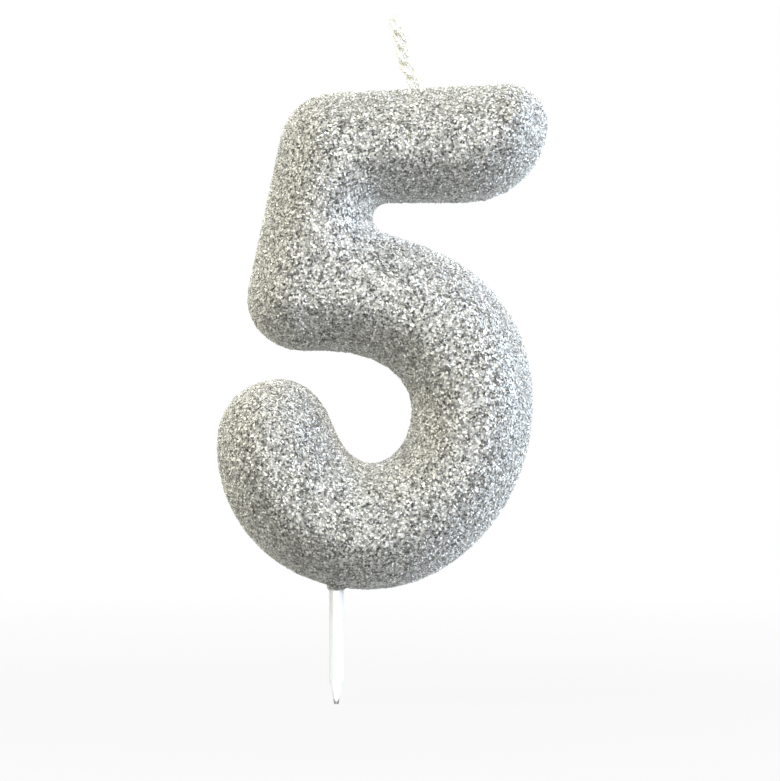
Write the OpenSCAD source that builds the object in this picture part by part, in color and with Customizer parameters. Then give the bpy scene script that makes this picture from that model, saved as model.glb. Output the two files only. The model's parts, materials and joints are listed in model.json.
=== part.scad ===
// Number birthday candle, numeral 5: a cast wax numeral in a glitter coat, with
// a braided wick out of its bar and a plastic pick under its bowl.
// The front of the numeral faces -Y and up is +Z. The origin is on the pick's
// axis, level with the numeral's lowest point, where the cake's top lies.

/* [Bar] */
// Height of the bar's top edge at its right end
numeral_h = 70.6; // [66:0.2:90]
// Right end of the bar, from the pick's axis
bar_right = 29.3; // [22:0.1:40]
// Top left corner of the bar, leftward from the pick's axis
bar_left = 6.4; // [0:0.1:12]
// How much higher the right end of the top edge is than its left end
bar_rise = 1.8; // [0:0.1:4]
// Depth of the bar at its right end
bar_depth = 16.5; // [12:0.1:20]
// Rounding of the top right corner
bar_top_r = 5.8; // [4:0.1:7]
// Length of the rounding under the right end, along the bar
bar_nose_len = 11.4; // [8:0.1:15]
// Rounding of the top left corner
bar_left_r = 5.8; // [3:0.1:8]

/* [Stem and notch] */
// Lean of the stem's left edge, in degrees
stem_lean = 12.1; // [0:0.1:16]
// Width of the stem beside the notch
stem_w = 14.9; // [12:0.1:18]
// Height of the notch between the bar and the bowl, at its inner end
notch_h = 4.8; // [3.6:0.1:7]
// Fall of the bowl's shoulder where it leaves the notch, in degrees
shoulder_fall = 18; // [10:0.5:26]
// Height of the foot's underside, where the stem ends over the bowl's opening
foot_z = 33.4; // [31:0.1:37]
// Rounding of the foot's left corner
foot_r = 8.4; // [4:0.1:9]
// How much wider than high that rounding is
foot_stretch = 1.1; // [0.9:0.01:1.3]
// End of the foot's flat underside, leftward from the pick's axis
foot_end = 1.6; // [0:0.1:3]
// Length of the bowl's straight shoulder from the notch
shoulder_len = 4.2; // [2:0.1:6]

/* [Bowl] */
// Right edge of the bowl, from the pick's axis
bowl_right = 27.3; // [22:0.1:34]
// Height of the bowl's rightmost point
bowl_right_z = 26; // [20:0.1:30]
// Lowest point of the bowl, rightward from the pick's axis
bowl_low_x = 4.4; // [0:0.1:10]
// Left edge of the bowl, leftward from the pick's axis
bowl_left = 16.6; // [12:0.1:22]
// Height of the bowl's leftmost point
bowl_left_z = 20.1; // [16:0.1:24]
// Top of the bowl's free end, leftward from the pick's axis
tip_x = 8; // [5:0.1:11]
// Height of the top of the bowl's free end
tip_z = 29.1; // [26:0.1:30.5]
// Thickness of the bowl at its lowest point
bowl_floor = 17.3; // [14:0.1:19]
// Thickness of the bowl at its right
bowl_wall = 16.6; // [13:0.1:19]
// Lowest point of the bowl's opening, rightward from the pick's axis
opening_low_x = 4.8; // [0:0.1:10]
// Height of the opening's rightmost point
opening_right_z = 25; // [20:0.1:30]
// Inner side of the bowl's free end, leftward from the pick's axis
tip_side_x = 0.7; // [0:0.1:3]
// How far below the free end's top that side is
tip_side_drop = 6.4; // [4:0.1:8]
// Lean of that side, in degrees
tip_side_lean = 19; // [10:1:30]
// Fullness of the bowl's upper right, where 1 is part of an ellipse
shoulder_full = 1.07; // [0.9:0.01:1.2]
// Fullness of the bowl's lower right
bowl_full = 0.98; // [0.85:0.01:1.15]
// Fullness of the bowl's lower left
left_full = 1.03; // [0.85:0.01:1.15]
// Fullness of the opening's upper right and of the free end
opening_full = 1.06; // [0.9:0.01:1.15]

/* [Section] */
// Rise of the domed front above the side wall
dome_h = 9; // [4:0.1:14]
// Distance from the edge at which the front is at its full height
dome_reach = 7.4; // [5:0.1:9]
// Straight part of the side wall
wall_h = 2; // [0.5:0.1:6]
// Rounding between the side wall and the flat back
back_r = 3; // [1:0.1:4]
// How far the straight wall's front edge is behind the pick's axis
wall_back = 1; // [0:0.1:3]
// Thickness of the glitter coat
coat_t = 0.4; // [0.2:0.05:0.8]

/* [Wick] */
// Place of the wick along the bar's top, from the pick's axis
wick_x = 10.6; // [9:0.1:14]
// Height of the wick's tip above the bar's top right end
wick_out = 8.8; // [6:0.1:12]
// Length of one full turn of the braid
braid_pitch = 6.4; // [5.6:0.1:9]
// Radius of one yarn of the braid
yarn_r = 0.35; // [0.25:0.01:0.36]
// Side to side swing of a yarn from the middle of the braid
braid_swing = 0.7; // [0.68:0.01:0.9]
// Front to back swing of a yarn from the middle of the braid
braid_weave = 0.6; // [0.58:0.01:0.7]
// Gap between the braid and its channel
wick_gap = 0.12; // [0.08:0.01:0.2]

/* [Pick] */
// Diameter of the pick
pick_d = 2; // [1.6:0.1:3]
// Length of the pick's full round shaft below the numeral's lowest point
pick_shaft = 12.6; // [8:0.1:60]
// Length of the pick's point
pick_point = 3.4; // [2:0.1:6]
// Diameter of the blunt end of the point
pick_tip_d = 0.6; // [0.3:0.1:1]
// Length of the gripped end inside the wax, above the numeral's lowest point
pick_grip = 11; // [8:0.1:13]
// Diameter of the gripped end between its rings
grip_d = 1.6; // [1.2:0.1:1.8]
// Diameter of the rings on the gripped end
barb_d = 2.6; // [2.2:0.1:3.2]
// Height of one ring on the gripped end
barb_h = 1.6; // [1:0.1:2.4]
// Number of rings on the gripped end
barb_count = 3; // [1:1:4]
// Width of the neck of coat round the pick where it leaves the numeral
neck_w = 0.35; // [0.2:0.05:0.8]

/* [Hidden] */

// Largest turn and longest step between two points of the outline.
outline_turn = 15;
outline_step = 3.2;
// Rings of the domed front, by angle, and the share of the way to the ridge
// at which the last ring is closed.
dome_angles = [14, 27, 39, 50, 60, 68, 76];
ridge_share = 0.88;
back_angles = [90, 60, 30];
bore_fn = 48;
eps = 0.01;

// ---- Outline of the numeral: points of the curve as [x, z, heading, fullness],
// in the order that keeps the wax on the left. Between two points the outline
// is straight, or a curve that leaves each along its heading.
bar_tilt = atan(bar_rise / (bar_right + bar_left));
bar_low_z = numeral_h - bar_depth;
bar_left_z = numeral_h - bar_rise;
function stem_x(z) = -bar_left - (bar_left_z - z) * tan(stem_lean);
notch_mid_z = bar_low_z - notch_h / 2;
notch_x = stem_x(notch_mid_z) + stem_w;
notch_r = notch_h / 2;
opening_right = bowl_right - bowl_wall;
foot_x = stem_x(foot_z);

outline_points = [
    // top edge of the bar, right to left
    [bar_right - bar_top_r, numeral_h - bar_top_r * tan(bar_tilt), 180 + bar_tilt, 1],
    [bar_left_r - bar_left, bar_left_z + bar_left_r * tan(bar_tilt), 180 + bar_tilt, 1],
    // left edge of the stem, downward
    [stem_x(bar_left_z - bar_left_r), bar_left_z - bar_left_r, 270 - stem_lean, 1],
    [stem_x(foot_z + foot_r), foot_z + foot_r, 270 - stem_lean, 1],
    // foot of the stem and underside of the waist
    [foot_x + foot_stretch * foot_r, foot_z, 0, 1],
    [-foot_end, foot_z, 0, opening_full],
    // round the bowl's opening
    [opening_right, opening_right_z, 270, 1],
    [opening_low_x, bowl_floor, 180, 1],
    [-tip_side_x, tip_z - tip_side_drop, 90 + tip_side_lean, opening_full],
    [-tip_x, tip_z, 180, opening_full],
    // outside of the bowl
    [-bowl_left, bowl_left_z, 270, left_full],
    [bowl_low_x, 0, 0, bowl_full],
    [bowl_right, bowl_right_z, 90, shoulder_full],
    [notch_x + notch_r + shoulder_len * cos(shoulder_fall),
     bar_low_z - notch_h - shoulder_len * sin(shoulder_fall), 180 - shoulder_fall, 1],
    // notch and underside of the bar
    [notch_x + notch_r, bar_low_z - notch_h, 180 - shoulder_fall, 1],
    [notch_x, notch_mid_z, 90, 1],
    [notch_x + notch_r, bar_low_z, 0, 1],
    [bar_right - bar_nose_len, bar_low_z, 0, 1],
    // right end of the bar
    [bar_right, numeral_h - bar_top_r, 90, 1],
];

function heading(a) = [cos(a), sin(a)];
function cross2(a, b) = a.x * b.y - a.y * b.x;
function turn_of(a, b) = ((b - a) % 360 + 540) % 360 - 180;

// Length of the curve's handle: the share of the way to the point where the
// two headings meet that makes a quarter turn an ellipse.
function handle_share(turn) = 4 / 3 * tan(turn / 4) / tan(turn / 2);
function bezier(p, u) =
    pow(1 - u, 3) * p[0] + 3 * pow(1 - u, 2) * u * p[1]
    + 3 * (1 - u) * u * u * p[2] + pow(u, 3) * p[3];
function bezier_way(p, u) =
    (1 - u) * (1 - u) * (p[1] - p[0]) + 2 * (1 - u) * u * (p[2] - p[1])
    + u * u * (p[3] - p[2]);

// One stretch of the outline as points [x, z, inward normal x, inward normal z].
function stretch(a, b) =
    let (
        from = [a.x, a.y],
        to = [b.x, b.y],
        da = heading(a[2]),
        db = heading(b[2]),
        turn = turn_of(a[2], b[2]),
        chord = to - from,
        bent = abs(turn) > 0.5,
        reach_a = bent ? cross2(chord, db) / cross2(da, db) : norm(chord) / 2,
        reach_b = bent ? cross2(da, chord) / cross2(da, db) : norm(chord) / 2,
        share = a[3] * (bent ? handle_share(abs(turn)) : 2 / 3),
        ctrl = [from, from + share * reach_a * da, to - share * reach_b * db, to],
        steps = ceil(max(abs(turn) / outline_turn, norm(chord) / outline_step))
    )
    [for (k = [0:steps - 1])
        let (
            u = k / steps,
            p = bezier(ctrl, u),
            w = bezier_way(ctrl, u),
            n = [-w.y, w.x] / norm(w)
        )
        [p.x, p.y, n.x, n.y]];

point_count = len(outline_points);
edge = [for (i = [0:point_count - 1])
    each stretch(outline_points[i], outline_points[(i + 1) % point_count])];
edge_n = len(edge);

// Radius of the largest circle inside the outline that touches it at point i.
function inner_r(i) =
    let (p = [edge[i].x, edge[i].y], n = [edge[i][2], edge[i][3]])
    min([for (q = edge)
        let (d = [q.x, q.y] - p, toward = d * n)
        if (toward > eps * norm(d)) d * d / (2 * toward)]);
reach = [for (i = [0:edge_n - 1]) inner_r(i)];

// Distance in which the front rises to its full height at point i: shorter in
// a corner too tight for the whole distance, and evened out along the outline.
rise_spread = 4;
function mean(list) = list * [for (v = list) 1] / len(list);
rise_reach = [for (i = [0:edge_n - 1])
    mean([for (k = [-rise_spread:rise_spread])
        min(dome_reach, reach[(i + k + edge_n) % edge_n])])];

// ---- The numeral as a loft. Each ring follows the outline at its own
// distance inward, and the front rises with that distance as a quarter of an
// ellipse.
function front_rise(i, d, skin) =
    let (w = rise_reach[i] - skin, s = 1 - min(d - skin, w) / w)
    (dome_h - skin) * sqrt(1 - s * s);

function ring_at(inset, share, y, skin) =
    [for (i = [0:edge_n - 1])
        let (d = inset + share * (reach[i] - inset))
        [edge[i].x + d * edge[i][2],
         share > 0 ? y - front_rise(i, d, skin) : y,
         edge[i].y + d * edge[i][3]]];

// Rings from the flat back to the ridge, for a surface that lies skin deep.
function numeral_rings(skin) = concat(
    [for (a = back_angles)
        ring_at(skin + (back_r - skin) * (1 - cos(a)), 0,
                wall_back + wall_h + (back_r - skin) * sin(a), skin)],
    [ring_at(skin, 0, wall_back + wall_h, skin)],
    [ring_at(skin, 0, wall_back, skin)],
    [for (a = dome_angles) ring_at(skin, 1 - cos(a), wall_back, skin)],
    [ring_at(skin, ridge_share, wall_back, skin)]
);

// Triangles that fill a flat outline, cut off one corner at a time. A corner
// that turns by less than the least turn would leave a sliver, so it waits.
least_turn = 3;
function corner_turn(a, b, c) = cross2(b - a, c - b);
function is_sharp(a, b, c) =
    corner_turn(a, b, c) > sin(least_turn) * norm(b - a) * norm(c - b);
function in_corner(p, a, b, c) =
    corner_turn(a, b, p) >= 0 && corner_turn(b, c, p) >= 0 && corner_turn(c, a, p) >= 0;
function is_free(pts, ids, k) =
    let (
        n = len(ids),
        ia = ids[(k + n - 1) % n],
        ib = ids[k],
        ic = ids[(k + 1) % n]
    )
    is_sharp(pts[ia], pts[ib], pts[ic])
    && len([for (j = ids)
        if (j != ia && j != ib && j != ic
            && in_corner(pts[j], pts[ia], pts[ib], pts[ic])) j]) == 0;
function free_corner(pts, ids, k, tries) =
    tries == 0 || is_free(pts, ids, k % len(ids))
    ? k % len(ids) : free_corner(pts, ids, k + 1, tries - 1);
function fill(pts, ids, k = 0, done = []) =
    len(ids) == 3 ? concat(done, [ids]) :
    let (
        n = len(ids),
        c = free_corner(pts, ids, k, n),
        cut = [ids[(c + n - 1) % n], ids[c], ids[(c + 1) % n]]
    )
    fill(pts, [for (j = [0:n - 1]) if (j != c) ids[j]], c + 1, concat(done, [cut]));
function flat(ring) = [for (p = ring) [p.x, p.z]];

module numeral(skin) {
    rings = numeral_rings(skin);
    n = edge_n;
    last = len(rings) - 1;
    every = [for (i = [0:n - 1]) i];
    back = fill(flat(rings[0]), every);
    front = fill(flat(rings[last]), every);
    polyhedron(
        points = [for (r = rings) each r],
        faces = concat(
            [for (t = back) [t[0], t[1], t[2]]],
            [for (k = [0:last - 1]) for (i = [0:n - 1])
                let (j = (i + 1) % n, a = k * n, b = a + n)
                each [[a + i, b + i, b + j], [a + i, b + j, a + j]]],
            [for (t = front) [t[2], t[1], t[0]] + last * n * [1, 1, 1]]
        )
    );
}

// ---- Wick: three yarns plaited about a route through the bar and the stem.
// Points of the route in the plane of the wick, from its tip inward. Those in
// the air are [rightward from wick_x, share of wick_out], those in the bar
// [rightward from wick_x, depth], and those in the stem's middle only a depth.
route_in_air = [[-2.6, 1], [-1.5, 0.66], [-1.1, 0.34], [0, 0.09]];
route_in_bar = [[0.5, 1.4], [0.6, 4.6], [-1, 7.7], [-4.6, 8.8], [-8.6, 9.4], [-11.6, 11.6]];
route_in_stem = [15.6, 19.6, 23.6, 27.6];
wick_route = concat(
    [for (p = route_in_air) [wick_x + p.x, numeral_h + p.y * wick_out]],
    [for (p = route_in_bar) [wick_x + p.x, numeral_h - p.y]],
    [for (d = route_in_stem) [stem_x(numeral_h - d) + stem_w / 2, numeral_h - d]]
);
braid_rings = 8;
yarn_sides = 6;
channel_sides = 10;
// Length over which the tip of the wick thins, and its thickness at the tip.
wick_taper = 2.4;
wick_tip_share = 0.55;
channel_r = (braid_swing + yarn_r + wick_gap) / cos(180 / channel_sides);

route_n = len(wick_route);
function route_spot(u) =
    let (
        k = min(floor(u), route_n - 2),
        t = u - k,
        p1 = wick_route[k],
        p2 = wick_route[k + 1],
        p0 = k > 0 ? wick_route[k - 1] : 2 * p1 - p2,
        p3 = k + 2 < route_n ? wick_route[k + 2] : 2 * p2 - p1
    )
    0.5 * (2 * p1 + (p2 - p0) * t + (2 * p0 - 5 * p1 + 4 * p2 - p3) * t * t
        + (3 * p1 - p0 - 3 * p2 + p3) * t * t * t);

// Even steps along the route, found by walking a fine copy of it.
fine = [for (k = [0:(route_n - 1) * 20]) route_spot(k / 20)];
function walk(pts, k = 1, sum = 0, out = [0]) =
    k == len(pts) ? out :
    let (s = sum + norm(pts[k] - pts[k - 1]))
    walk(pts, k + 1, s, concat(out, [s]));
fine_way = walk(fine);
wick_length = fine_way[len(fine) - 1];
function spot_at(s) = [lookup(s, [for (k = [0:len(fine) - 1]) [fine_way[k], fine[k].x]]),
                       lookup(s, [for (k = [0:len(fine) - 1]) [fine_way[k], fine[k].y]])];

// Place on the wick at way s along it, a to its side and b to its back.
function wick_place(s, a, b) =
    let (
        p = spot_at(s),
        d = spot_at(min(s + 0.2, wick_length)) - spot_at(max(s - 0.2, 0)),
        side = [-d.y, d.x] / norm(d)
    )
    [p.x + a * side.x, b, p.y + a * side.y];
function thinning(s) =
    s >= wick_taper ? 1 : wick_tip_share + (1 - wick_tip_share) * sin(90 * s / wick_taper);

// Centre of a yarn at way s: a figure of eight across the braid.
function yarn_place(s, phase) =
    let (a = 360 * s / braid_pitch + phase, f = thinning(s))
    wick_place(s, f * braid_swing * sin(a), f * braid_weave * sin(2 * a));

function unit(v) = v / norm(v);
// A tube round a list of centres, with its rings square to its own course.
module tube(centres, radii, sides) {
    n = len(centres);
    rings = [for (k = [0:n - 1])
        let (
            d = unit(centres[min(k + 1, n - 1)] - centres[max(k - 1, 0)]),
            u = unit(cross(d, [0, 1, 0])),
            v = cross(d, u)
        )
        [for (i = [0:sides - 1])
            let (a = 360 * i / sides)
            centres[k] + radii[k] * (cos(a) * u + sin(a) * v)]];
    first = [for (i = [1:sides - 2]) [0, i, i + 1]];
    final = [for (i = [1:sides - 2]) [0, i + 1, i] + (n - 1) * sides * [1, 1, 1]];
    polyhedron(
        points = [for (r = rings) each r],
        faces = concat(
            first,
            [for (k = [0:n - 2]) for (i = [0:sides - 1])
                let (j = (i + 1) % sides, a = k * sides, b = a + sides)
                each [[a + i, b + i, b + j], [a + i, b + j, a + j]]],
            final
        )
    );
}

module wick_yarn(phase) {
    count = ceil(wick_length * braid_rings / braid_pitch);
    ways = [for (k = [0:count]) wick_length * k / count];
    color("ivory")
        tube([for (s = ways) yarn_place(s, phase)],
             [for (s = ways) yarn_r * thinning(s)], yarn_sides);
}

// Space for the wick, open at the top of the bar and closed past its end.
module wick_channel() {
    step = channel_r * 2;
    open_way = wick_out / 2;
    count = ceil((wick_length - open_way) / step);
    ways = [for (k = [0:count]) open_way + (wick_length - open_way) * k / count];
    last = wick_place(wick_length, 0, 0);
    past = last + yarn_r * unit(last - wick_place(wick_length - step, 0, 0));
    centres = concat([for (s = ways) wick_place(s, 0, 0)], [past]);
    tube(centres, [for (c = centres) channel_r], channel_sides);
}

// ---- Pick
// Half section of the pick: its point, its shaft up to the numeral's lowest
// point, and the thinner end with rings that hold it in the wax.
pick_r = pick_d / 2;
grip_r = grip_d / 2;
module pick_profile() {
    first_barb = pick_grip - barb_h * barb_count;
    polygon(concat(
        [[0, -pick_shaft - pick_point], [pick_tip_d / 2, -pick_shaft - pick_point],
         [pick_r, -pick_shaft], [pick_r, 0], [grip_r, 0]],
        [for (k = [0:barb_count - 1])
            let (z = first_barb + k * barb_h)
            each [[grip_r, z], [barb_d / 2, z], [grip_r, z + barb_h - eps]]],
        [[grip_r, pick_grip], [0, pick_grip]]
    ));
}

module pick_hole() {
    rotate_extrude($fn = bore_fn) pick_profile();
}

module pick() {
    color("white") rotate_extrude($fn = bore_fn) pick_profile();
}

// ---- Numeral and coat
module wax_body() {
    color("gainsboro") difference() {
        numeral(coat_t);
        wick_channel();
        pick_hole();
    }
}

module glitter_coat() {
    color("silver") difference() {
        union() {
            numeral(0);
            cylinder(h = pick_d, r = pick_r + neck_w, $fn = bore_fn);
        }
        numeral(coat_t);
        wick_channel();
        pick_hole();
    }
}

module wick_yarn_1() { wick_yarn(0); }
module wick_yarn_2() { wick_yarn(120); }
module wick_yarn_3() { wick_yarn(240); }

wax_body();
glitter_coat();
wick_yarn_1();
wick_yarn_2();
wick_yarn_3();
pick();
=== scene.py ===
# Number birthday candle: the finish of its wax, glitter, wick and pick, built
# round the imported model.
import bisect
import itertools
import json
import math
import random

import bmesh
import bpy
import numpy as np
from mathutils import Euler, Matrix, Vector, noise
from mathutils.bvhtree import BVHTree

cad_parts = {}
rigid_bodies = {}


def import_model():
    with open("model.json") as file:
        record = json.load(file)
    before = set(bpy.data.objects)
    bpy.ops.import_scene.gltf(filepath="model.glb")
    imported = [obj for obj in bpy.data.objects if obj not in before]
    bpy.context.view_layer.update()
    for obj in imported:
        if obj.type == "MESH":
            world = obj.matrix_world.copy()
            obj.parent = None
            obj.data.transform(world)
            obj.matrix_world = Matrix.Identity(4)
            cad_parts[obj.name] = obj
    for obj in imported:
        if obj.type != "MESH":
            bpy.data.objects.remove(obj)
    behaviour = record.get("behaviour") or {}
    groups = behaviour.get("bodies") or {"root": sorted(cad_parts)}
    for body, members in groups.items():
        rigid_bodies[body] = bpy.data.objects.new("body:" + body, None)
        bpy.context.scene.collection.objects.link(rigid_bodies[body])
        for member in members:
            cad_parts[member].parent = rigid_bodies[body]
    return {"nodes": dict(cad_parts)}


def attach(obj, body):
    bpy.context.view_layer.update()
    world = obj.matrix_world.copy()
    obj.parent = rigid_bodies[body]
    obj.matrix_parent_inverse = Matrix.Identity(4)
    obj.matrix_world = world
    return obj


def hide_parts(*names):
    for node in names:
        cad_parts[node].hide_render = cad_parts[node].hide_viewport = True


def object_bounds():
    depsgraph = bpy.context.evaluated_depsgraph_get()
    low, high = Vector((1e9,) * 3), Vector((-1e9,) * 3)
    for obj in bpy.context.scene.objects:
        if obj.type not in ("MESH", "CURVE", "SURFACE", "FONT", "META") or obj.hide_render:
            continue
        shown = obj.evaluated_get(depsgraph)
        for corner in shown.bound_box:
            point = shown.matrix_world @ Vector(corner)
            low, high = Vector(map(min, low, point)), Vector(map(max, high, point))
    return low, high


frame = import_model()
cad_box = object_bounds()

# ---- Camera
# It stands level in front of the numeral, far enough off that the sides of the
# stroke hardly show.
MM = 0.001
CAMERA_AT = Vector((7.46, -450, 27.67)) * MM

camera_data = bpy.data.cameras.new("camera")
camera_data.lens = 148.9
camera_data.sensor_width = 36
camera = bpy.data.objects.new("camera", camera_data)
camera.location = CAMERA_AT
camera.rotation_euler = (math.radians(90), 0, 0)
bpy.context.scene.collection.objects.link(camera)
bpy.context.scene.camera = camera

# ---- Wax body
# The numeral is cast in one pour of white paraffin wax, round the wick and the
# ringed end of the pick. The glitter coat hides nearly all of it.
WAX_CLOUD_SIZE = 6 * MM
WAX_PALE = (0.80, 0.80, 0.77, 1)
WAX_DEEP = (0.72, 0.72, 0.68, 1)


class Value:
    """A number or colour on a shader socket, ready for sums."""

    def __init__(self, finish, socket):
        self.finish = finish
        self.socket = socket

    def sum(self, operation, first, second):
        return self.finish.node("ShaderNodeMath", {"operation": operation}, [first, second])

    def __add__(self, other):
        return self.sum("ADD", self, other)

    def __radd__(self, other):
        return self.sum("ADD", other, self)

    def __sub__(self, other):
        return self.sum("SUBTRACT", self, other)

    def __rsub__(self, other):
        return self.sum("SUBTRACT", other, self)

    def __mul__(self, other):
        return self.sum("MULTIPLY", self, other)

    def __rmul__(self, other):
        return self.sum("MULTIPLY", other, self)


class Finish:
    """The nodes of a material, or of the world, added one call at a time."""

    def __init__(self, owner, main="Principled BSDF", **sockets):
        owner.use_nodes = True
        self.owner = owner
        self.tree = owner.node_tree
        self.main = self.tree.nodes[main]
        self.feed(**sockets)

    def feed(self, **sockets):
        """Sets sockets of the main node, or links them to what varies."""
        for name, value in sockets.items():
            self.put(self.main.inputs[name.replace("_", " ")], value)

    def put(self, socket, value):
        if isinstance(value, Value):
            self.tree.links.new(value.socket, socket)
        else:
            socket.default_value = value

    def node(self, kind, settings=None, inputs=(), output=0):
        """Adds a node with these settings, and these values or links on its sockets."""
        made = self.tree.nodes.new(kind)
        for name, value in (settings or {}).items():
            setattr(made, name, value)
        named = inputs.items() if isinstance(inputs, dict) else enumerate(inputs)
        for name, value in named:
            self.put(made.inputs[name], value)
        return Value(self, made.outputs[output])

    def place(self):
        return self.node("ShaderNodeTexCoord", output="Object")

    def noise(self, size, detail=2):
        return self.node("ShaderNodeTexNoise", inputs={
            "Vector": self.place(), "Scale": 1 / size, "Detail": detail})

    def blend(self, share, first, second):
        """The first colour where the share is 0 and the second where it is 1."""
        return self.node("ShaderNodeMix", {"data_type": "RGBA"},
                         {0: share, 6: first, 7: second}, 2)


def new_finish(name, **sockets):
    return Finish(bpy.data.materials.new(name), **sockets)


def coat_node(name, finish):
    """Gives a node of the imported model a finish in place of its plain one."""
    mesh = frame["nodes"][name].data
    mesh.materials.clear()
    mesh.materials.append(finish.owner)


wax = new_finish("wax", Roughness=0.45, Subsurface_Weight=0.2, Subsurface_Scale=2 * MM)
wax.feed(Base_Color=wax.blend(wax.noise(WAX_CLOUD_SIZE), WAX_PALE, WAX_DEEP))
coat_node("wax_body", wax)

# ---- Glitter coat
# The cast numeral is brushed with clear varnish and rolled in silver glitter,
# which dries to a skin under half a millimetre thick. This is a merged copy of
# the coat, whose finish has one cell for each flake that lies in the varnish.
CELL = 0.33 * MM
CELL_LEAN = 0.55
CELL_METAL = 0.2
CELL_ROUGHNESS = (0.25, 0.55)
CELL_SHADES = [
    (0.00, (0.16, 0.16, 0.145, 1)),
    (0.35, (0.34, 0.34, 0.32, 1)),
    (0.80, (0.56, 0.56, 0.54, 1)),
    (1.00, (0.86, 0.86, 0.84, 1)),
]
SAME_SPOT = 0.001 * MM
SMOOTH_BELOW = 50
# The foot of the neck round the pick is drawn in to a thin lip.
NECK_TOP = 0.05 * MM
NECK_WITHIN = 1.6 * MM
NECK_END = 1.04 * MM


def add_object(name, mesh):
    made = bpy.data.objects.new(name, mesh)
    bpy.context.scene.collection.objects.link(made)
    return made


def dress(piece, slot, *nodes):
    """Makes the piece part of the candle, in place of those nodes."""
    for node in nodes:
        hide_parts(node)
    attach(piece, "root")


def merged_copy(node):
    """The node's mesh as one closed skin, to be worked on."""
    shape = bmesh.new()
    shape.from_mesh(frame["nodes"][node].data)
    bmesh.ops.remove_doubles(shape, verts=shape.verts, dist=SAME_SPOT)
    return shape


def finished(name, shape):
    """An object of its own from a shape that is done."""
    mesh = bpy.data.meshes.new(name)
    shape.to_mesh(mesh)
    shape.free()
    return add_object(name, mesh)


glitter = new_finish("glitter", IOR=1.5, Coat_Weight=0.6, Coat_Roughness=0.15)
cell = glitter.node("ShaderNodeTexVoronoi", inputs={
    "Vector": glitter.place(), "Scale": 1 / CELL}, output="Color")
shade = glitter.node("ShaderNodeSeparateColor", inputs=[cell], output="Red")
gleam = glitter.node("ShaderNodeSeparateColor", inputs=[cell], output="Green")
shades = glitter.node("ShaderNodeValToRGB", inputs=[shade])
ramp = shades.socket.node.color_ramp
while len(ramp.elements) < len(CELL_SHADES):
    ramp.elements.new(1)
for stop, (share, colour) in zip(ramp.elements, CELL_SHADES):
    stop.position = share
    stop.color = colour
smoothest, roughest = CELL_ROUGHNESS
centred = glitter.node("ShaderNodeVectorMath", {"operation": "SUBTRACT"},
                       [cell, (0.5, 0.5, 0.5)])
lean = glitter.node("ShaderNodeVectorMath", {"operation": "SCALE"},
                    {0: centred, "Scale": CELL_LEAN})
upright = glitter.node("ShaderNodeNewGeometry", output="Normal")
leaning = glitter.node("ShaderNodeVectorMath", inputs=[lean, upright])
glitter.feed(
    Base_Color=shades,
    Metallic=gleam * CELL_METAL,
    Roughness=smoothest + gleam * (roughest - smoothest),
    Normal=glitter.node("ShaderNodeVectorMath", {"operation": "NORMALIZE"}, [leaning]))

skin = merged_copy("glitter_coat")
for vert in skin.verts:
    out = math.hypot(vert.co.x, vert.co.y)
    if vert.co.z < NECK_TOP and NECK_END < out < NECK_WITHIN:
        vert.co.x *= NECK_END / out
        vert.co.y *= NECK_END / out
coat = finished("glitter_skin", skin)
coat.data.shade_smooth()
coat.data.set_sharp_from_angle(angle=math.radians(SMOOTH_BELOW))
coat.data.materials.append(glitter.owner)
dress(coat, "glitter", "glitter_coat")

# ---- Loose flakes
# The top layer of the glitter: six-sided flakes cut from metallised film. They
# stick in the varnish at all angles and roughen every edge.
FLAKE_LOTS = 3
FLAKES_IN_LOT = 45000
FLAKES_IN_BATCH = 64
FLAKE_RADII = (0.12 * MM, 0.23 * MM)
FLAKE_LIFT = (0, 0.12 * MM)
OFF_THE_WAX = 0.2 * MM
# Each table goes with TIPS, how far the surface tips back from the front: how
# far the flakes tip back, how much they lean about that, how large they are, and
# how much of the range of shades they show round which middle. On the shoulders
# the flakes set steeper than the surface, as if they had slid in the wet varnish,
# and towards the sides they are finer and bristle more. The two shade tables paint
# light by slope: a touch darker on the shoulders as painted shade, and paler and
# more even towards the sides as a painted sheen.
TIPS = [0, 7, 14, 21, 35, 58, 90, 120, 180]
FLAKE_TIPS = [0, 9, 27, 44, 53, 61, 83, 118, 180]
FLAKE_LEANS = [22, 22, 22, 22, 22, 28, 38, 26, 22]
FLAKE_SIZES = [1.04, 1.04, 1.02, 0.98, 0.9, 0.8, 0.72, 1, 1]
# Painted light: the shades grow paler and more even towards the sides as a painted sheen, and
# their middle dips a little on the shoulders as painted shade.
RANGES_WITH_PAINTED_SHEEN = [0.96, 0.96, 0.96, 0.9, 0.75, 0.52, 0.4, 0.9, 0.96]
MIDDLES_WITH_PAINTED_LIGHT = [0.5, 0.5, 0.49, 0.47, 0.48, 0.54, 0.7, 0.5, 0.5]
# Flakes of a shade lie in loose clumps of this size.
CLUMP_SIZE = 0.6 * MM
CLUMP_PULL = 0.4
# share of the flakes, grey, metallic, roughness
FLAKE_SHADES = [
    (0.16, 0.05, 0.0, 0.50),
    (0.20, 0.24, 0.0, 0.50),
    (0.24, 0.58, 0.0, 0.50),
    (0.26, 0.88, 0.0, 0.45),
    (0.14, 0.95, 0.3, 0.35),
]
flake_finishes = []
for number, (share, grey, metal, rough) in enumerate(FLAKE_SHADES, 1):
    flake_finishes.append(new_finish(
        f"flake_{number}", Base_Color=(grey, grey, grey * 0.97, 1), Metallic=metal,
        Roughness=rough, Coat_Weight=0.6, Coat_Roughness=0.15))


def described(mesh, face):
    corners = [mesh.vertices[k] for k in face.vertices[:3]]
    return (face.area, [c.co for c in corners], [c.normal for c in corners])


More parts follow.
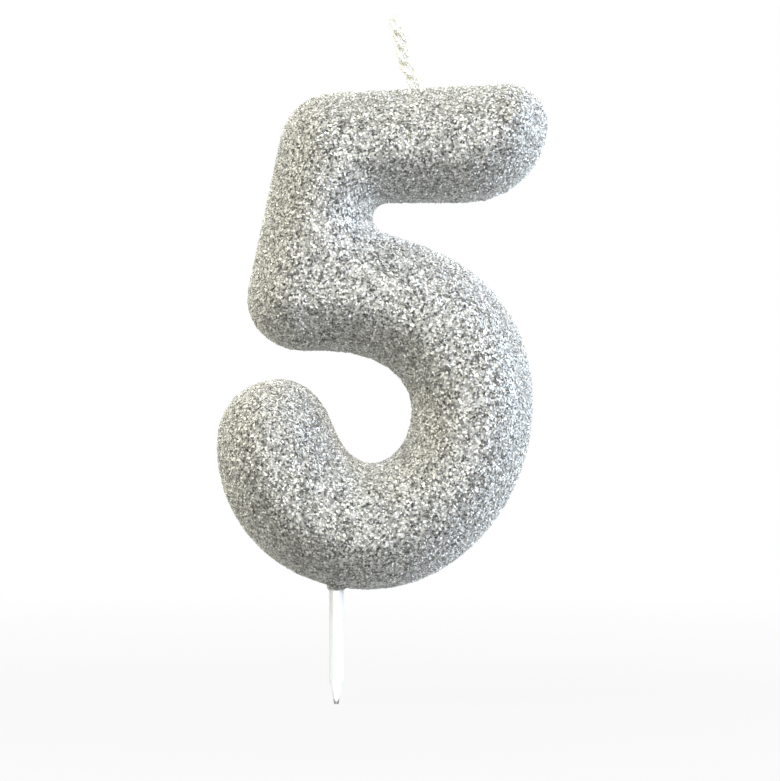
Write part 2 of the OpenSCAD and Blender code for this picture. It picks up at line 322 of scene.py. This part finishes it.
def outer_faces(piece, inner_node, least_gap):
    """Size, corners and normals of the faces that stand off the inner node."""
    inner = bmesh.new()
    inner.from_mesh(frame["nodes"][inner_node].data)
    within = BVHTree.FromBMesh(inner)
    inner.free()
    return [described(piece.data, face) for face in piece.data.polygons
            if within.find_nearest(face.center)[3] > least_gap]


def faces_between(piece, low, high):
    """Size, corners and normals of the faces between those heights."""
    return [described(piece.data, face) for face in piece.data.polygons
            if low < face.center.z < high]


def tip_of(normal):
    """How far a surface with that normal tips back from the front, in degrees."""
    return math.degrees(math.acos(max(-1, min(1, -normal.y))))


def flake_normal(normal, tip):
    """The way a flake faces on a surface with that normal, tipped that far back."""
    across = Vector((normal.x, 0, normal.z))
    if across.length == 0:
        return normal
    new_tip = math.radians(np.interp(tip, TIPS, FLAKE_TIPS))
    return math.sin(new_tip) * across.normalized() - math.cos(new_tip) * Vector((0, 1, 0))


def strew(name, faces, count, draw, radii, lift):
    """An object with that many flakes, strewn evenly over the faces."""
    areas = [face[0] for face in faces]
    shares = [shade[0] for shade in FLAKE_SHADES]
    bounds = list(itertools.accumulate(shares[:-1]))
    whole = bmesh.new()
    for first in range(0, count, FLAKES_IN_BATCH):
        batch = bmesh.new()
        size = min(FLAKES_IN_BATCH, count - first)
        for _, corners, normals in draw.choices(faces, areas, k=size):
            a, b = draw.random(), draw.random()
            if a + b > 1:
                a, b = 1 - a, 1 - b
            weights = (1 - a - b, a, b)
            spot = sum((w * c for w, c in zip(weights, corners)), Vector())
            normal = sum((w * n for w, n in zip(weights, normals)), Vector()).normalized()
            tip = tip_of(normal)
            lean_by = math.radians(np.interp(tip, TIPS, FLAKE_LEANS))
            lean = Euler((draw.gauss(0, lean_by), draw.gauss(0, lean_by),
                          draw.uniform(0, math.tau)))
            facing = flake_normal(normal, tip).to_track_quat("Z", "Y").to_matrix().to_4x4()
            scale = np.interp(tip, TIPS, FLAKE_SIZES)
            made = bmesh.ops.create_circle(
                batch, cap_ends=True, segments=6, radius=scale * draw.uniform(*radii),
                matrix=Matrix.Translation(spot + normal * draw.uniform(*lift)) @ facing
                @ lean.to_matrix().to_4x4())
            pull = CLUMP_PULL * noise.noise(spot / CLUMP_SIZE)
            # The shade drawn here paints light by slope: a little darker on the shoulders as
            # painted shade, paler and more even towards the sides as a painted sheen.
            spread_with_painted_sheen = np.interp(tip, TIPS, RANGES_WITH_PAINTED_SHEEN)
            painted_light_middle = np.interp(tip, TIPS, MIDDLES_WITH_PAINTED_LIGHT)
            level = painted_light_middle + (draw.random() + pull - 0.5) * spread_with_painted_sheen
            made["verts"][0].link_faces[0].material_index = bisect.bisect(bounds, level)
        part = bpy.data.meshes.new("batch")
        batch.to_mesh(part)
        batch.free()
        whole.from_mesh(part)
        bpy.data.meshes.remove(part)
    piece = finished(name, whole)
    for finish in flake_finishes:
        piece.data.materials.append(finish.owner)
    dress(piece, "glitter")


draw = random.Random(5)
coat_faces = outer_faces(coat, "wax_body", OFF_THE_WAX)
for lot in range(1, FLAKE_LOTS + 1):
    strew(f"glitter_flakes_{lot}", coat_faces, FLAKES_IN_LOT, draw, FLAKE_RADII, FLAKE_LIFT)

# ---- Wick
# Three cotton yarns, each twisted from three plies, are plaited and dipped in
# wax, so that the wick stands by itself. It leaves the top of the bar, leans to
# one side and has some glitter on it. Plain numbers here are in millimetres.
WICK_X = 10.6
BAR_TOP = 70.6
WICK_OUT = 8.8
ROUTE_IN_AIR = [(-2.6, 1), (-1.5, 0.66), (-1.1, 0.34), (0, 0.09)]
ROUTE_IN_BAR = [(0.5, 1.4), (0.6, 4.6), (-1, 7.7), (-4.6, 8.8), (-8.6, 9.4), (-11.6, 11.6)]
ROUTE_IN_STEM = [15.6, 19.6, 23.6, 27.6]
STEM_TOP = Vector((1.05, 0, 68.8))
STEM_LEAN = 12.1
BRAID_PITCH = 6.4
BRAID_SWING = 0.7
BRAID_WEAVE = 0.6
YARN_RADIUS = 0.35
PLY_RADIUS = 0.17
PLY_PITCH = 1.7
PLY_STEP = 0.2
TAPER = 2.4
TIP_SHARE = 0.55
CLEAR_OF_BAR = 0.5
FIBRES_ON_YARN = 26
FIBRE_SHARE_AT_TIP = 0.5
STEPS_AT_TIP = 6
FIBRE_RADIUS = 0.025
FIBRE_STEP = (0.08, 0.22)
FIBRE_CURL = 0.35
FIBRE_HEADING = Vector((-0.4, 0, 1.2))
FIBRE_THINNING = [1, 0.9, 0.8, 0.7, 0.6, 0.5]
WICK_FLAKES = 170
WICK_FLAKES_BETWEEN = (73.2 * MM, 77.3 * MM)
WICK_FLAKE_RADII = (0.10 * MM, 0.18 * MM)
COTTON_PALE = (0.97, 0.97, 0.93, 1)
COTTON_DEEP = (0.86, 0.86, 0.80, 1)
FUZZ_SIZE = 0.25 * MM
FUZZ_DEPTH = 0.05 * MM


def stem_middle(depth):
    """The middle of the leaning stem, that far below the bar's top."""
    z = BAR_TOP - depth
    return (STEM_TOP.x - (STEM_TOP.z - z) * math.tan(math.radians(STEM_LEAN)), 0, z)


route = [Vector((WICK_X + x, 0, BAR_TOP + share * WICK_OUT)) for x, share in ROUTE_IN_AIR]
route += [Vector((WICK_X + x, 0, BAR_TOP - depth)) for x, depth in ROUTE_IN_BAR]
route += [Vector(stem_middle(depth)) for depth in ROUTE_IN_STEM]


def along(points, step, parts=20):
    """Even steps of about that length along a smooth line through the points."""
    run = [2 * points[0] - points[1], *points, 2 * points[-1] - points[-2]]
    fine = []
    for p0, p1, p2, p3 in zip(run, run[1:], run[2:], run[3:]):
        for k in range(parts):
            t = k / parts
            fine.append(0.5 * (2 * p1 + (p2 - p0) * t + (2 * p0 - 5 * p1 + 4 * p2 - p3) * t ** 2
                               + (3 * p1 - p0 - 3 * p2 + p3) * t ** 3))
    fine.append(points[-1])
    way = [0]
    for a, b in zip(fine, fine[1:]):
        way.append(way[-1] + (b - a).length)
    count = math.ceil(way[-1] / step)
    even = []
    k = 0
    for number in range(count + 1):
        s = way[-1] * number / count
        while k < len(way) - 2 and way[k + 1] < s:
            k += 1
        even.append(fine[k].lerp(fine[k + 1], (s - way[k]) / (way[k + 1] - way[k])))
    return even


def wind(line, pitch, phase, aside, back, shares):
    """A strand that swings about the line, side to side and front to back."""
    strand = []
    ends = [line[0], *line, line[-1]]
    way = 0
    for point, before, after, share in zip(line, ends, ends[2:], shares):
        way += (point - before).length
        turn = math.tau * way / pitch + phase
        ahead = (after - before).normalized()
        side = ahead.cross(Vector((0, 1, 0))).normalized()
        rear = side.cross(ahead)
        strand.append(point + share * (aside(turn) * side + back(turn) * rear))
    return strand


def cords(name, strands, radius, shares, sides):
    """A closed tube round each strand, as one mesh in metres."""
    data = bpy.data.curves.new(name, "CURVE")
    data.dimensions = "3D"
    data.bevel_depth = radius * MM
    data.bevel_resolution = sides // 2 - 2
    data.use_fill_caps = True
    for strand in strands:
        spline = data.splines.new("POLY")
        spline.points.add(len(strand) - 1)
        for point, place, share in zip(spline.points, strand, shares):
            point.co = (*(place * MM), 1)
            point.radius = share
    bent = bpy.data.objects.new(name, data)
    mesh = bpy.data.meshes.new_from_object(bent)
    bpy.data.objects.remove(bent)
    bpy.data.curves.remove(data)
    mesh.name = name
    mesh.shade_smooth()
    return mesh


middle = along(route, PLY_STEP)
thinning = []
for k in range(len(middle)):
    share = min(k * PLY_STEP / TAPER, 1)
    thinning.append(TIP_SHARE + (1 - TIP_SHARE) * math.sin(math.radians(90 * share)))

cotton = new_finish("cotton", Roughness=0.8, Sheen_Weight=0.3)
fuzz = cotton.noise(FUZZ_SIZE, 4)
cotton.feed(
    Base_Color=cotton.blend(fuzz, COTTON_DEEP, COTTON_PALE),
    Normal=cotton.node("ShaderNodeBump", inputs={
        "Strength": 0.5, "Distance": FUZZ_DEPTH, "Height": fuzz}))

draw = random.Random(8)
ply_orbit = YARN_RADIUS - PLY_RADIUS
fibres = []
for number in (1, 2, 3):
    yarn = wind(middle, BRAID_PITCH, math.radians(120 * (number - 1)),
                lambda turn: BRAID_SWING * math.sin(turn),
                lambda turn: BRAID_WEAVE * math.sin(2 * turn), thinning)
    plies = []
    for ply in range(3):
        plies.append(wind(yarn, PLY_PITCH, math.radians(120 * ply),
                          lambda turn: ply_orbit * math.cos(turn),
                          lambda turn: ply_orbit * math.sin(turn), thinning))
    mesh = cords(f"yarn_{number}", plies, PLY_RADIUS, thinning, 6)
    mesh.materials.append(cotton.owner)
    dress(add_object(f"yarn_{number}", mesh), "cotton", f"wick_yarn_{number}")
    exposed = [place for place in yarn if place.z > BAR_TOP + CLEAR_OF_BAR]
    for _ in range(FIBRES_ON_YARN):
        at_tip = draw.random() < FIBRE_SHARE_AT_TIP
        spot = draw.choice(exposed[:STEPS_AT_TIP] if at_tip else exposed)
        fibre = [spot]
        heading = Vector([draw.gauss(0, 1) for _ in range(3)]) + FIBRE_HEADING
        for _ in FIBRE_THINNING[1:]:
            curl = Vector([draw.gauss(0, FIBRE_CURL) for _ in range(3)])
            heading = heading.normalized() + curl
            fibre.append(fibre[-1] + heading.normalized() * draw.uniform(*FIBRE_STEP))
        fibres.append(fibre)
fluff = cords("wick_fibres", fibres, FIBRE_RADIUS, FIBRE_THINNING, 4)
fluff.materials.append(cotton.owner)
dress(add_object("wick_fibres", fluff), "cotton")

stuck_on = []
for number in (1, 2, 3):
    stuck_on += faces_between(bpy.data.objects[f"yarn_{number}"], *WICK_FLAKES_BETWEEN)
strew("wick_flakes", stuck_on, WICK_FLAKES, draw, WICK_FLAKE_RADII, (0, 0))

# ---- Pick
# The pick is moulded in milky plastic. Its ringed end is cast into the wax, a
# neck of glitter sets round it there, and its point pushes into the cake.
PICK_PALE = (0.95, 0.97, 0.97, 1)
PICK_CLOUD = (0.90, 0.93, 0.94, 1)
# The point is dark grey for its last third of a millimetre and fades to the milky plastic by
# nearly a millimetre from its end.
PICK_TIP = (0.20, 0.20, 0.19, 1)
PICK_CLOUD_SIZE = 1.5 * MM
PICK_TIP_HEIGHT = 0.9 * MM
PICK_TIP_DARK = 0.36 * MM

milky = new_finish("pick_plastic", Roughness=0.3, IOR=1.46, Transmission_Weight=0.6)
height = milky.node("ShaderNodeSeparateXYZ", inputs=[milky.place()], output="Z")
tip_share = milky.node("ShaderNodeMapRange", inputs=[
    height, cad_box[0].z + PICK_TIP_DARK, cad_box[0].z + PICK_TIP_HEIGHT, 1, 0])
clouded = milky.blend(milky.noise(PICK_CLOUD_SIZE), PICK_PALE, PICK_CLOUD)
milky.feed(Base_Color=milky.blend(tip_share, clouded, PICK_TIP))
coat_node("pick", milky)

# ---- Floor, background and lamps
# A floor that shows white to the camera and in a gloss, with some of its own
# colour and the candle's shadow near the candle, a white world that only shows
# behind things, and six soft lamps.
FLOOR_RADIUS = 0.8
FLOOR_COLOUR = (0.26, 0.26, 0.255, 1)
FLOOR_SHARE = 0.08
FLOOR_FADES = (0.05, 0.25)
LAMP_AWAY = 0.7
LAMP_SIZE = 0.4
LAMPS_AIM = Vector((6, 0, 35)) * MM
WHITE = (1, 1, 1, 1)
# degrees round from the front, degrees up, light level, colour
LAMPS = {
    "key": (45, 30, 0.50, (1.0, 0.96, 0.9)),
    "right": (80, 6, 1.6, (0.68, 0.81, 1.0)),
    "left": (-80, 20, 0.46, (1.0, 0.95, 0.66)),
    "upper_left": (-50, 58, 0.72, (1.0, 1.0, 0.93)),
    "front": (0, 10, 0.30, (1.0, 0.99, 0.96)),
    "back": (180, 12, 0.65, (1.0, 1.0, 1.0)),
}

floor_shape = bmesh.new()
bmesh.ops.create_circle(floor_shape, cap_ends=True, segments=64, radius=FLOOR_RADIUS)
bmesh.ops.translate(floor_shape, verts=floor_shape.verts, vec=(0, 0, cad_box[0].z))
floor_mesh = bpy.data.meshes.new("floor")
floor_shape.to_mesh(floor_mesh)
floor_shape.free()
floor = add_object("floor", floor_mesh)


def seen_ray(finish):
    """1 on rays that show the background: to the camera, in a gloss or through glass."""
    rays = [finish.node("ShaderNodeLightPath", output=f"Is {kind} Ray")
            for kind in ("Camera", "Glossy", "Transmission")]
    either = finish.node("ShaderNodeMath", {"operation": "MAXIMUM"}, rays[:2])
    return finish.node("ShaderNodeMath", {"operation": "MAXIMUM"}, [either, rays[2]])


paper = new_finish("paper", Base_Color=FLOOR_COLOUR, Roughness=1, Specular_IOR_Level=0)
reach = paper.node("ShaderNodeVectorMath", {"operation": "LENGTH"}, [paper.place()], "Value")
near = paper.node("ShaderNodeMapRange", inputs=[reach, *FLOOR_FADES, FLOOR_SHARE, 0])
white_light = paper.node("ShaderNodeEmission", inputs=[WHITE, 1])
paper.put(paper.tree.nodes["Material Output"].inputs["Surface"], paper.node(
    "ShaderNodeMixShader", inputs=[
        seen_ray(paper) * (1 - near), Value(paper, paper.main.outputs[0]), white_light]))
floor_mesh.materials.append(paper.owner)

world = bpy.data.worlds.new("studio")
bpy.context.scene.world = world
sky = Finish(world, "Background", Color=WHITE)
sky.feed(Strength=seen_ray(sky))

for name, (round_by, up_by, level, colour) in LAMPS.items():
    lamp = bpy.data.lights.new(name, "AREA")
    lamp.size = LAMP_SIZE
    lamp.energy = level * (math.pi * LAMP_AWAY) ** 2
    lamp.color = colour
    light = add_object(name, lamp)
    turn = Euler((math.radians(90 - up_by), 0, math.radians(round_by)))
    light.location = LAMPS_AIM + turn.to_matrix() @ Vector((0, 0, LAMP_AWAY))
    light.rotation_euler = turn

bpy.context.scene.view_settings.view_transform = "Standard"
